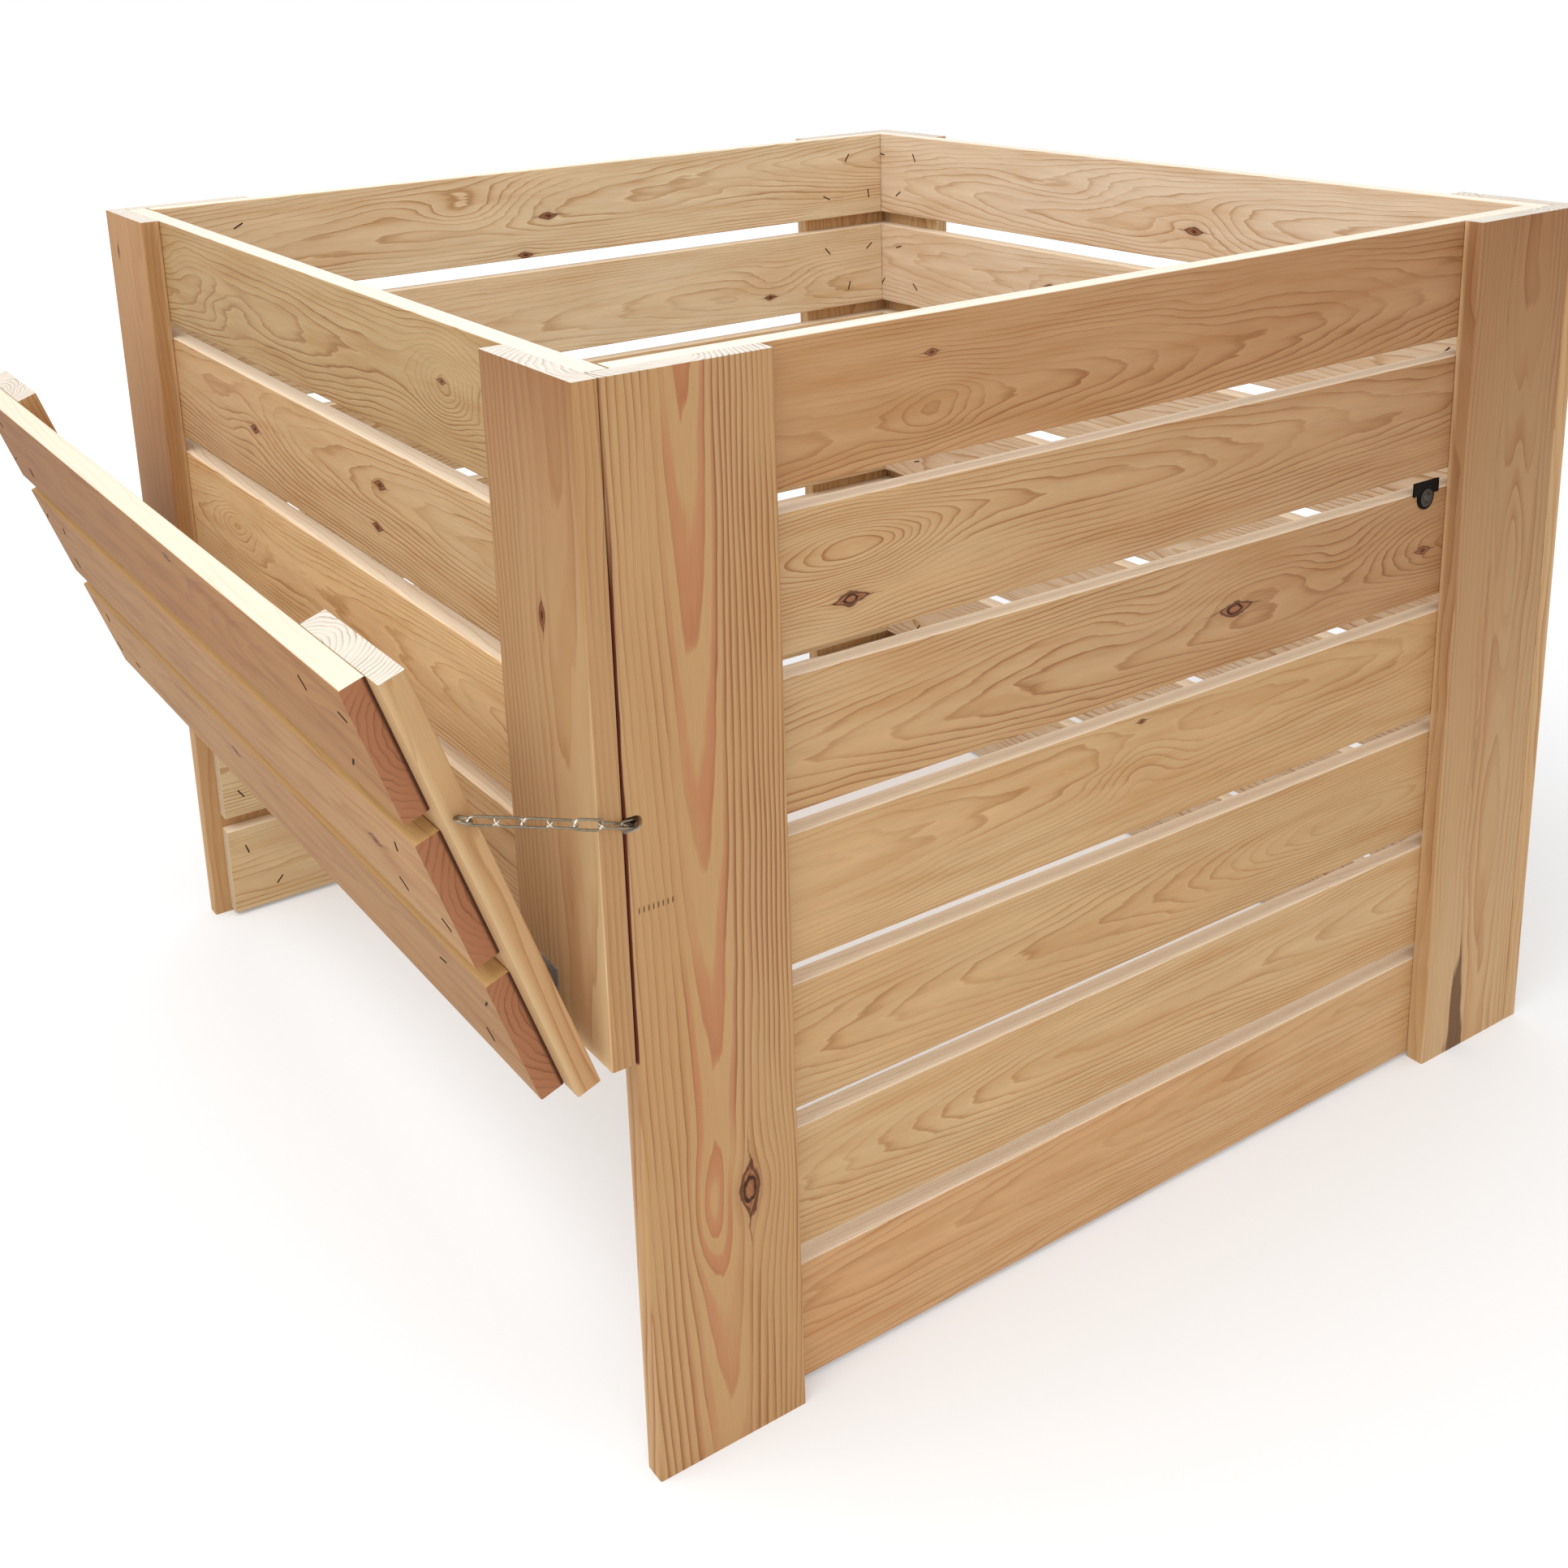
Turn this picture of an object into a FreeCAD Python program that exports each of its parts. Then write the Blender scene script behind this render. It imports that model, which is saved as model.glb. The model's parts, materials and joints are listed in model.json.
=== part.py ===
import FreeCAD, Part
import math
import os

# Slatted wooden compost bin with a front emptying flap that swings up on two hinges.
# All sizes are in millimetres. X runs along the front, Y from front to back and Z up.

# Footprint over the corner boards
bin_width = 1000.0
bin_depth = 1000.0

# Timber
board_thickness = 18.0
slat_height = 100.0
slat_gap = 16.0
corner_board_width = 125.0
edge_round = 1.5

# Rows of slats, counted from the top
row_count = 7
fixed_front_rows = 4
ground_clearance = 4.0

# Clearances between pieces
corner_joint_gap = 0.6
slat_end_gap = 0.8
flap_end_gap = 1.5
flap_back_gap = 1.0

# Hinges
hinge_gap = 2.0
knuckle_radius = 4.0
knuckle_stand_off = 0.3
hinge_pin_radius = 2.0
pin_running_gap = 0.05
knuckle_length = 12.0
knuckle_end_gap = 0.4
leaf_thickness = 1.5
leaf_length = 44.0
leaf_width = 36.8
hinge_from_side = 88.0
screw_hole_gap = 0.2

# How far the flap is raised from closed, and how far it folds back against the front
raised_angle = 161.0
folded_back_angle = 179.0

# Hinge screws
screw_shank_radius = 1.75
screw_shank_length = 14.0
screw_head_radius = 3.4
screw_head_top_radius = 2.0
screw_head_height = 1.1
screws_per_leaf = 3
screw_end_distance = 10.0

# Staples that hold the slats to the corner boards
staple_crown = 11.0
staple_wire = 1.3
staple_leg = 28.0
staple_proud = 0.45
staples_per_end = 3
staple_end_distance = 20.0
staple_spacing = 33.0
staple_rise = 24.0
staple_turns = (18.0, -42.0, 71.0, -8.0, 34.0, -63.0, 52.0)

# Dowels hidden in the corner joints
dowel_radius = 4.0
dowel_front_depth = 12.0
dowel_side_depth = 20.0

# Chain that holds the flap up
chain_wire_radius = 0.9
chain_inner_width = 3.6
chain_pitch = 17.0
chain_play = 0.2
chain_tilt = 65.0
chain_face_gap = 4.4

# Notch in the right front board where the chain is anchored, beside one of the front slats
notch_row = 3
notch_below_slat_top = 59.0
notch_height = 10.5
notch_reach = 13.5
anchor_screw_radius = 1.3
anchor_screw_head_radius = 1.9
anchor_screw_head_height = 0.8
anchor_screw_depth = 20.0
anchor_screw_inset = 9.0
anchor_screw_drop = 1.2
anchor_link_sink = 2.8
anchor_play = 0.8

# Screw eye on the edge of the right batten
eye_distance = 230.0
eye_ring_radius = 5.0
eye_wire_radius = 1.1
eye_shank_length = 14.0

# Small fixing plate on the right side near the back, over the top edge of one slat
plate_row = 3
plate_width = 33.0
plate_height = 12.0
plate_tab_radius = 10.5
plate_tab_drop = 5.0
plate_thickness = 1.6
plate_overlap = 2.0
plate_from_back_board = 12.0
plate_screw_radius = 2.0
plate_screw_length = 14.0
plate_screw_head_radius = 5.0
plate_screw_head_top_radius = 2.8
plate_screw_head_height = 2.2
plate_washer_radius = 8.0
plate_washer_height = 0.8

# How far a cutting shape reaches past the faces that it cuts
cut_past = 1.0

# Sizes that follow from the ones above
row_pitch = slat_height + slat_gap
bin_height = ground_clearance + row_count * slat_height + (row_count - 1) * slat_gap
half_width = bin_width / 2
half_depth = bin_depth / 2
flap_rows = range(fixed_front_rows + 1, row_count + 1)


def row_top(row):
    return bin_height - (row - 1) * row_pitch


flap_top = row_top(fixed_front_rows + 1)
hinge_z = flap_top + hinge_gap / 2
short_board_bottom = flap_top + hinge_gap
axis_to_face = knuckle_radius + knuckle_stand_off

# The raised flap leans out in front, so the middle of the whole object lies in front of the
# middle of the bin. Everything is set back by that much to stand around the origin.
lean = math.radians(raised_angle)
flap_far_edge = hinge_z - ground_clearance
flap_depth = axis_to_face + 2 * board_thickness
front_reach = half_depth + axis_to_face - math.cos(lean) * flap_depth + math.sin(lean) * flap_far_edge
set_back = (front_reach - half_depth) / 2
front_y = set_back - half_depth
back_y = set_back + half_depth
hinge_y = front_y - axis_to_face
hinge_point = FreeCAD.Vector(0, hinge_y, hinge_z)

X_AXIS = FreeCAD.Vector(1, 0, 0)
Y_AXIS = FreeCAD.Vector(0, 1, 0)
Z_AXIS = FreeCAD.Vector(0, 0, 1)

nodes = {}


def block(x0, x1, y0, y1, z0, z1):
    """A plain box between two corners."""
    corner = FreeCAD.Vector(min(x0, x1), min(y0, y1), min(z0, z1))
    return Part.makeBox(abs(x1 - x0), abs(y1 - y0), abs(z1 - z0), corner)


def board(x0, x1, y0, y1, z0, z1):
    """A planed board: a box with its four long edges rounded."""
    box = block(x0, x1, y0, y1, z0, z1)
    longest = max(edge.Length for edge in box.Edges)
    long_edges = [edge for edge in box.Edges if edge.Length > longest - 0.001]
    return box.makeFillet(edge_round, long_edges)


def rod(start, direction, length, radius):
    return Part.makeCylinder(radius, length, start, direction)


def raised(shape):
    """Turns a piece of the flap from the closed place to the raised one."""
    shape.rotate(hinge_point, X_AXIS, -raised_angle)
    return shape


def raised_point(point):
    turn = FreeCAD.Rotation(X_AXIS, -raised_angle)
    return turn.multVec(point - hinge_point) + hinge_point


# Slats of the four sides
front_slat_end = half_width - board_thickness - slat_end_gap
side_slat_front = front_y + 2 * board_thickness + flap_back_gap
side_slat_back = back_y - 2 * board_thickness - slat_end_gap
side_outer = half_width - board_thickness
side_inner = half_width - 2 * board_thickness
front_inner = front_y + 2 * board_thickness
back_inner = back_y - 2 * board_thickness


def make_slats():
    for row in range(1, row_count + 1):
        top = row_top(row)
        low = top - slat_height
        if row <= fixed_front_rows:
            nodes["front_slat_%d" % row] = board(
                -front_slat_end, front_slat_end, front_y + board_thickness, front_inner, low, top)
        nodes["back_slat_%d" % row] = board(
            -front_slat_end, front_slat_end, back_inner, back_y - board_thickness, low, top)
        nodes["left_slat_%d" % row] = board(
            -side_outer, -side_inner, side_slat_front, side_slat_back, low, top)
        nodes["right_slat_%d" % row] = board(
            side_inner, side_outer, side_slat_front, side_slat_back, low, top)


# Corner boards: the front and back ones cover the edges of the side ones
side_board_front = front_y + board_thickness + corner_joint_gap
side_board_back = back_y - board_thickness - corner_joint_gap
anchor_y = side_board_front + anchor_screw_inset
notch_z = row_top(notch_row) - notch_below_slat_top
anchor_z = notch_z - anchor_screw_drop


def make_notch():
    """The round-ended slot from the front edge of the right front board, through its thickness."""
    radius = notch_height / 2
    straight = notch_reach - radius
    slot = block(side_outer - cut_past, half_width + cut_past,
                 side_board_front - cut_past, side_board_front + straight,
                 notch_z - radius, notch_z + radius)
    start = FreeCAD.Vector(side_outer - cut_past, side_board_front + straight, notch_z)
    return slot.fuse(rod(start, X_AXIS, board_thickness + 2 * cut_past, radius))


def make_corner_boards():
    for side, sign in (("left", -1), ("right", 1)):
        outer = sign * half_width
        inner = sign * (half_width - board_thickness)
        face_edge = sign * (half_width - corner_board_width)
        nodes["front_%s_board" % side] = board(
            face_edge, outer, front_y, front_y + board_thickness, short_board_bottom, bin_height)
        nodes["back_%s_board" % side] = board(
            face_edge, outer, back_y - board_thickness, back_y, 0, bin_height)
        nodes["%s_front_board" % side] = board(
            inner, outer, side_board_front, side_board_front + corner_board_width, 0, bin_height)
        nodes["%s_back_board" % side] = board(
            inner, outer, side_board_back - corner_board_width, side_board_back, 0, bin_height)
    nodes["right_front_board"] = nodes["right_front_board"].cut(make_notch())


def make_dowels():
    """Dowels along Y that pin the front and back corner boards to the edges of the side ones."""
    front = []
    back = []
    length = dowel_front_depth + corner_joint_gap + dowel_side_depth
    for x in (board_thickness / 2 - half_width, half_width - board_thickness / 2):
        for row in (1, fixed_front_rows):
            z = row_top(row) - slat_height / 2
            start = FreeCAD.Vector(x, front_y + board_thickness - dowel_front_depth, z)
            front.append(rod(start, Y_AXIS, length, dowel_radius))
        for row in (1, fixed_front_rows, row_count):
            z = row_top(row) - slat_height / 2
            start = FreeCAD.Vector(x, back_y - board_thickness + dowel_front_depth, z)
            back.append(rod(start, -Y_AXIS, length, dowel_radius))
    nodes["front_corner_dowels"] = Part.makeCompound(front)
    nodes["back_corner_dowels"] = Part.makeCompound(back)


def staple(turn):
    """A staple at the origin with its crown on the plane z = 0 and its legs pointing down."""
    half = staple_crown / 2
    wire = staple_wire / 2
    crown = block(-half, half, -wire, wire, staple_proud - staple_wire, staple_proud)
    left_leg = block(-half, -half + staple_wire, -wire, wire, -staple_leg, staple_proud)
    right_leg = block(half - staple_wire, half, -wire, wire, -staple_leg, staple_proud)
    shape = crown.fuse([left_leg, right_leg]).removeSplitter()
    shape.rotate(FreeCAD.Vector(0, 0, 0), Z_AXIS, turn)
    return shape


def staple_places(row):
    """Distance from the slat's end, height on the slat and turn of each staple at one end."""
    for count in range(staples_per_end):
        distance = staple_end_distance + count * staple_spacing
        rise = staple_rise if (count + row) % 2 else -staple_rise
        turn = staple_turns[(row * staples_per_end + count) % len(staple_turns)]
        yield distance, rise, turn


def stapled_panel(rows, end_a, end_b, place):
    """Staples at both ends of each slat. place() carries one from its flat place to the face."""
    shapes = []
    for row in rows:
        middle = row_top(row) - slat_height / 2
        for distance, rise, turn in staple_places(row):
            shapes.append(place(staple(turn), end_a + distance, middle + rise))
            shapes.append(place(staple(-turn), end_b - distance, middle - rise))
    return Part.makeCompound(shapes)


def on_face(normal_turn, axis, offset):
    """A function that stands a staple on an upright face and moves it to its place."""
    def place(shape, along, height):
        shape.rotate(FreeCAD.Vector(0, 0, 0), axis, normal_turn)
        shape.translate(offset(along, height))
        return shape
    return place


def make_staples():
    all_rows = range(1, row_count + 1)
    front_rows = range(1, fixed_front_rows + 1)
    into_front = on_face(-90, X_AXIS, lambda along, height: FreeCAD.Vector(along, front_inner, height))
    into_back = on_face(90, X_AXIS, lambda along, height: FreeCAD.Vector(along, back_inner, height))
    into_left = on_face(90, Y_AXIS, lambda along, height: FreeCAD.Vector(-side_inner, along, height))
    into_right = on_face(-90, Y_AXIS, lambda along, height: FreeCAD.Vector(side_inner, along, height))
    nodes["front_staples"] = stapled_panel(front_rows, -front_slat_end, front_slat_end, into_front)
    nodes["back_staples"] = stapled_panel(all_rows, -front_slat_end, front_slat_end, into_back)
    nodes["left_staples"] = stapled_panel(all_rows, side_slat_front, side_slat_back, into_left)
    nodes["right_staples"] = stapled_panel(all_rows, side_slat_front, side_slat_back, into_right)
    flap_end = half_width - board_thickness - flap_end_gap
    nodes["flap_staples"] = raised(stapled_panel(flap_rows, -flap_end, flap_end, into_front))


def make_flap():
    """Three boards across two battens, made in the closed place and then raised."""
    end = half_width - board_thickness - flap_end_gap
    for count, row in enumerate(flap_rows, 1):
        closed = board(-end, end, front_y + board_thickness, front_inner,
                       row_top(row) - slat_height, row_top(row))
        nodes["flap_board_%d" % count] = raised(closed)
    for side, sign in (("left", -1), ("right", 1)):
        closed = board(sign * (half_width - corner_board_width), sign * half_width,
                       front_y, front_y + board_thickness, ground_clearance, flap_top)
        nodes["flap_%s_batten" % side] = raised(closed)


def pin_bore(x0, x1):
    """The running bore for the hinge pin, past both ends of a barrel."""
    start = FreeCAD.Vector(x0 - cut_past, hinge_y, hinge_z)
    return rod(start, X_AXIS, x1 - x0 + 2 * cut_past, hinge_pin_radius + pin_running_gap)


def knuckle(x0, x1):
    """One barrel of a hinge, bored for the pin."""
    start = FreeCAD.Vector(x0, hinge_y, hinge_z)
    barrel = rod(start, X_AXIS, x1 - x0, knuckle_radius)
    return barrel.cut(pin_bore(x0, x1))


def screw_heights():
    reach = leaf_length - 2 * screw_end_distance
    for count in range(screws_per_leaf):
        yield screw_end_distance + reach * count / (screws_per_leaf - 1)


def leaf(middle, up, barrels):
    """A hinge leaf on the front faces: a plate, its barrels and its screw holes."""
    far = hinge_z + up * leaf_length
    plate = block(middle - leaf_width / 2, middle + leaf_width / 2,
                  front_y - leaf_thickness, front_y, hinge_z, far)
    start = FreeCAD.Vector(middle - leaf_width, hinge_y, hinge_z)
    slot = rod(start, X_AXIS, 2 * leaf_width, knuckle_radius + knuckle_end_gap)
    plate = plate.cut(slot)
    tongues = []
    for x0, x1 in barrels:
        tongue = block(x0, x1, front_y - leaf_thickness, front_y - knuckle_stand_off,
                       hinge_z, hinge_z + up * 2 * knuckle_radius)
        tongues.append(tongue.cut(pin_bore(x0, x1)))
        tongues.append(knuckle(x0, x1))
    plate = plate.fuse(tongues).removeSplitter()
    for distance in screw_heights():
        hole_start = FreeCAD.Vector(middle, front_y - leaf_thickness - cut_past, hinge_z + up * distance)
        hole = rod(hole_start, Y_AXIS, leaf_thickness + 2 * cut_past, screw_shank_radius + screw_hole_gap)
        plate = plate.cut(hole)
    return plate


def leaf_screws(middle, up):
    """Round-headed screws through a leaf into the board behind it."""
    screws = []
    for distance in screw_heights():
        seat = FreeCAD.Vector(middle, front_y - leaf_thickness, hinge_z + up * distance)
        shank = rod(seat, Y_AXIS, screw_shank_length, screw_shank_radius)
        head = Part.makeCone(screw_head_radius, screw_head_top_radius, screw_head_height, seat, -Y_AXIS)
        screws.append(shank.fuse(head))
    return screws


def make_hinges():
    fixed_screws = []
    flap_screws = []
    step = knuckle_length + knuckle_end_gap
    for side, sign in (("left", -1), ("right", 1)):
        middle = sign * (half_width - hinge_from_side)
        inner_barrel = (middle - knuckle_length / 2, middle + knuckle_length / 2)
        outer_barrels = [(inner_barrel[0] - step, inner_barrel[1] - step),
                         (inner_barrel[0] + step, inner_barrel[1] + step)]
        nodes["%s_hinge_fixed_leaf" % side] = leaf(middle, 1, outer_barrels)
        nodes["%s_hinge_flap_leaf" % side] = raised(leaf(middle, -1, [inner_barrel]))
        pin_start = FreeCAD.Vector(outer_barrels[0][0], hinge_y, hinge_z)
        pin_length = outer_barrels[1][1] - outer_barrels[0][0]
        nodes["%s_hinge_pin" % side] = rod(pin_start, X_AXIS, pin_length, hinge_pin_radius)
        fixed_screws += leaf_screws(middle, 1)
        flap_screws += [raised(screw) for screw in leaf_screws(middle, -1)]
    nodes["hinge_fixed_screws"] = Part.makeCompound(fixed_screws)
    nodes["hinge_flap_screws"] = Part.makeCompound(flap_screws)


# The chain runs from the ring of the eye on the flap to a screw at the bottom of the notch
bend_radius = chain_inner_width / 2 + chain_wire_radius
anchor_point = FreeCAD.Vector(half_width - anchor_link_sink, anchor_y, anchor_z)
eye_ring_centre = FreeCAD.Vector(half_width + eye_ring_radius + eye_wire_radius,
                                 front_y + board_thickness / 2, hinge_z - eye_distance)
chain_from = raised_point(eye_ring_centre)
anchor_link_length = chain_pitch + chain_play + 2 * chain_wire_radius
anchor_wrap = anchor_screw_radius + anchor_play + chain_wire_radius


def unit(vector):
    return vector.multiply(1 / vector.Length)


def anchor_end():
    """Where the anchor link's free end lies: outside the face by chain_face_gap, towards the flap."""
    out = chain_face_gap + anchor_link_sink
    reach = anchor_link_length - anchor_wrap
    along = math.sqrt(reach * reach - out * out)
    flat = FreeCAD.Vector(0, chain_from.y - anchor_y, chain_from.z - anchor_z)
    return anchor_point + unit(flat).multiply(along) + FreeCAD.Vector(out, 0, 0)


def chain_link(start, end, tilt):
    """A link whose end wires are centred on start and end, turned by tilt about its length."""
    length = (end - start).Length
    straight = length - 2 * bend_radius
    pieces = []
    for side in (-1, 1):
        low = FreeCAD.Vector(bend_radius, side * bend_radius, 0)
        pieces.append(rod(low, X_AXIS, straight, chain_wire_radius))
    near = Part.makeTorus(bend_radius, chain_wire_radius, FreeCAD.Vector(bend_radius, 0, 0), Z_AXIS)
    near_half = near.common(block(-length, bend_radius, -length, length, -length, length))
    far = Part.makeTorus(bend_radius, chain_wire_radius,
                         FreeCAD.Vector(bend_radius + straight, 0, 0), Z_AXIS)
    far_half = far.common(block(bend_radius + straight, 2 * length, -length, length, -length, length))
    link = pieces[0].fuse([pieces[1], near_half, far_half]).removeSplitter()
    link.rotate(FreeCAD.Vector(0, 0, 0), X_AXIS, tilt)
    direction = unit(end - start)
    turn = FreeCAD.Rotation(X_AXIS, direction)
    link.Placement = FreeCAD.Placement(start, turn).multiply(link.Placement)
    return link


def make_chain():
    free_end = anchor_end()
    back_along = unit(anchor_point - free_end)
    wrap_end = anchor_point + back_along * anchor_wrap
    nodes["chain_anchor_link"] = chain_link(free_end, wrap_end, chain_tilt)
    inner = 2 * chain_wire_radius + chain_play
    ring_direction = unit(free_end - chain_from)
    first_inside = chain_from + ring_direction * (eye_ring_radius - eye_wire_radius - chain_wire_radius
                                                  - chain_play)
    last_inside = free_end + unit(ring_direction + back_along) * (inner + anchor_play - chain_play)
    chain_direction = unit(last_inside - first_inside)
    span = (last_inside - first_inside).Length
    count = max(1, round((span - inner) / chain_pitch))
    pitch = (span - inner) / count
    twist = 180 * round(count / 2) / count
    links = []
    for number in range(count):
        start = first_inside + chain_direction * (number * pitch)
        end = start + chain_direction * (pitch + inner)
        links.append(chain_link(start, end, chain_tilt + twist * number))
    nodes["hold_up_chain"] = Part.makeCompound(links)


def make_anchor_screw():
    """The screw at the bottom of the notch, driven into the end of the front slat behind it."""
    seat = FreeCAD.Vector(half_width - anchor_screw_head_height, anchor_y, anchor_z)
    length = board_thickness - anchor_screw_head_height + anchor_screw_depth
    shank = rod(seat, -X_AXIS, length, anchor_screw_radius)
    head = rod(seat, X_AXIS, anchor_screw_head_height, anchor_screw_head_radius)
    nodes["chain_anchor_screw"] = shank.fuse(head)


def make_eye():
    """The screw eye in the right batten's edge, with the chain's first link in its ring."""
    chain_turn = FreeCAD.Rotation(X_AXIS, raised_angle)
    pull = chain_turn.multVec(anchor_end() - chain_from)
    across = X_AXIS.cross(pull)
    ring = Part.makeTorus(eye_ring_radius, eye_wire_radius, eye_ring_centre, across)
    base = FreeCAD.Vector(half_width + eye_wire_radius, eye_ring_centre.y, eye_ring_centre.z)
    shank = rod(base, -X_AXIS, eye_shank_length, eye_wire_radius)
    nodes["flap_screw_eye"] = raised(ring.fuse(shank))


def make_fixing_plate():
    """The small black plate at the gap above its row, with its washer and screw."""
    face = side_outer
    y1 = side_board_back - corner_board_width - plate_from_back_board
    y0 = y1 - plate_width
    row_edge = row_top(plate_row)
    base = row_edge - plate_overlap
    middle = (y0 + y1) / 2
    centre_z = row_edge - plate_tab_drop
    flat = block(face, face + plate_thickness, y0, y1, base, base + plate_height)
    tab = rod(FreeCAD.Vector(face, middle, centre_z), X_AXIS, plate_thickness, plate_tab_radius)
    hole = rod(FreeCAD.Vector(face - cut_past, middle, centre_z), X_AXIS,
               plate_thickness + 2 * cut_past, plate_screw_radius + screw_hole_gap)
    nodes["fixing_plate"] = flat.fuse(tab).removeSplitter().cut(hole)
    seat = FreeCAD.Vector(face + plate_thickness, middle, centre_z)
    washer = rod(seat, X_AXIS, plate_washer_height, plate_washer_radius)
    shank = rod(seat, -X_AXIS, plate_screw_length, plate_screw_radius)
    head_seat = seat + X_AXIS * plate_washer_height
    head = Part.makeCone(plate_screw_head_radius, plate_screw_head_top_radius,
                         plate_screw_head_height, head_seat, X_AXIS)
    nodes["fixing_plate_screw"] = washer.fuse([shank, head])


make_slats()
make_corner_boards()
make_dowels()
make_staples()
make_flap()
make_hinges()
make_chain()
make_anchor_screw()
make_eye()
make_fixing_plate()

os.makedirs("parts", exist_ok=True)
for name, shape in nodes.items():
    shape.exportStep("parts/%s.step" % name)
print("%d nodes, bin height %.0f mm, set back %.2f mm" % (len(nodes), bin_height, set_back))
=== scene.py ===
import functools
import json
import math

import bpy
import numpy as np
from mathutils import Matrix, Vector


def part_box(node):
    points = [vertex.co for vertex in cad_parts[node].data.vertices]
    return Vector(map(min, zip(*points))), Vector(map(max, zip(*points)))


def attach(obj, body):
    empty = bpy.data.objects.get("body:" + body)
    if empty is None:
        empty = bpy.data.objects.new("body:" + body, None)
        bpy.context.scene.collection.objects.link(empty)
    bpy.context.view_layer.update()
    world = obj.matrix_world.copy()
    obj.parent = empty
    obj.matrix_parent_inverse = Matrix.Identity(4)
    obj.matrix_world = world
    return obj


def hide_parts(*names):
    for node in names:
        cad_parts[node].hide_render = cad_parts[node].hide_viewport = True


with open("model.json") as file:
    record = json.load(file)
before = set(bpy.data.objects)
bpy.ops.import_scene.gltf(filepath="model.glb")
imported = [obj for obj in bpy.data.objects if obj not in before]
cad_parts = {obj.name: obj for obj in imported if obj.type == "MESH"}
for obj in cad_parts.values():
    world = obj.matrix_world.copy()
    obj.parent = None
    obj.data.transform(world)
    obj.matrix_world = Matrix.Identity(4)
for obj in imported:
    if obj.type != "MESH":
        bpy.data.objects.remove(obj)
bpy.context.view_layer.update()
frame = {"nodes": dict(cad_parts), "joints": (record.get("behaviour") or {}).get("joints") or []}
print("frame loaded:", len(frame["nodes"]), "nodes")


def toLinear(hexColour):
    # sRGB hex to linear RGBA: below 0.04045 a straight line, above it a power of 2.4
    values = [int(hexColour[i:i + 2], 16) / 255 for i in (1, 3, 5)]
    return tuple(v / 12.92 if v <= 0.04045 else ((v + 0.055) / 1.055) ** 2.4 for v in values) + (1.0,)


def addNode(tree, kind, inputs=None, out=None, **settings):
    # one node with its settings. An input that is a node or a socket is linked, a plain value is set.
    # It gives back the node, or one of its outputs where out names it
    node = tree.nodes.new("ShaderNode" + kind)
    for name, value in settings.items():
        setattr(node, name, value)
    if not isinstance(inputs, dict):
        inputs = dict(enumerate(inputs or ()))
    for key, value in inputs.items():
        if isinstance(value, bpy.types.Node):
            value = value.outputs[0]
        if isinstance(value, bpy.types.NodeSocket):
            tree.links.new(value, node.inputs[key])
        else:
            node.inputs[key].default_value = value
    return node if out is None else node.outputs[out]


def newTree(name):
    material = bpy.data.materials.new(name)
    material.use_nodes = True
    material.node_tree.nodes.clear()
    return material, material.node_tree


def giveMaterial(nodeName, material):
    piece = frame["nodes"][nodeName]
    if not piece.material_slots:
        piece.data.materials.append(material)
    for materialSlot in piece.material_slots:
        materialSlot.material = material


# Camera: the photograph's viewing angle, in millimetres, degrees and pixels of a 1932 pixel square.
# seesTo is in metres
camera = {
    "place": (1437.2, -909.36, 1047.05),
    "azimuth": 56.43,
    "elevation": 15.57,
    "roll": -1.83,
    "focalPixels": 2274.24,
    "centrePixel": (947.1, 556.0),
    "imagePixels": 1932,
    "sensor": 36.0,
    "seesTo": 200.0,
}


def makeCamera():
    # looks along forward. right and up are turned out of level by the roll
    az, el, roll = (math.radians(camera[k]) for k in ("azimuth", "elevation", "roll"))
    forward = Vector((-math.sin(az) * math.cos(el), math.cos(az) * math.cos(el), -math.sin(el)))
    level = Vector((math.cos(az), math.sin(az), 0))
    above = level.cross(forward)
    right = level * math.cos(roll) + above * math.sin(roll)
    up = above * math.cos(roll) - level * math.sin(roll)
    turn = Matrix((right, up, -forward)).transposed().to_4x4()
    data = bpy.data.cameras.new("camera")
    half = camera["imagePixels"] / 2
    data.sensor_width = camera["sensor"]
    data.lens = camera["focalPixels"] / camera["imagePixels"] * camera["sensor"]
    data.shift_x = (half - camera["centrePixel"][0]) / camera["imagePixels"]
    data.shift_y = (camera["centrePixel"][1] - half) / camera["imagePixels"]
    data.clip_end = camera["seesTo"]
    item = bpy.data.objects.new("camera", data)
    item.matrix_world = Matrix.Translation(Vector(camera["place"]) / 1000) @ turn
    bpy.context.scene.collection.objects.link(item)
    bpy.context.scene.camera = item


makeCamera()
bpy.context.scene.view_settings.view_transform = "Standard"

# Studio: pale floor, white surroundings and soft lamps. Sizes in metres, power in watts. What the
# eye sees of the floor glows a little, from the first to the second strength over glowReach, so that
# it passes into the white background
studio = {
    "floorSize": 60.0,
    "floorColour": "#E4E6E8",
    "glow": (0.21, 0.5),
    "glowReach": (0.9, 3.2),
    "white": "#FFFFFF",
    "skyStrength": 0.85,
    "lamps": {
        "overhead": {"place": (0.4, -1.8, 3.0), "aim": (0.1, -0.2, 0.5), "size": 2.6, "power": 48},
        "rightSide": {"place": (3.1, -1.7, 1.5), "aim": (0.3, -0.1, 0.4), "size": 2.4, "power": 15},
    },
}


def seenDirectly(tree):
    # 1 for what the camera sees, also in gloss, and 0 for what only lights the object
    path = addNode(tree, "LightPath")
    rays = (path.outputs["Is Camera Ray"], path.outputs["Is Glossy Ray"])
    return addNode(tree, "Math", rays, operation="MAXIMUM")


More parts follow.
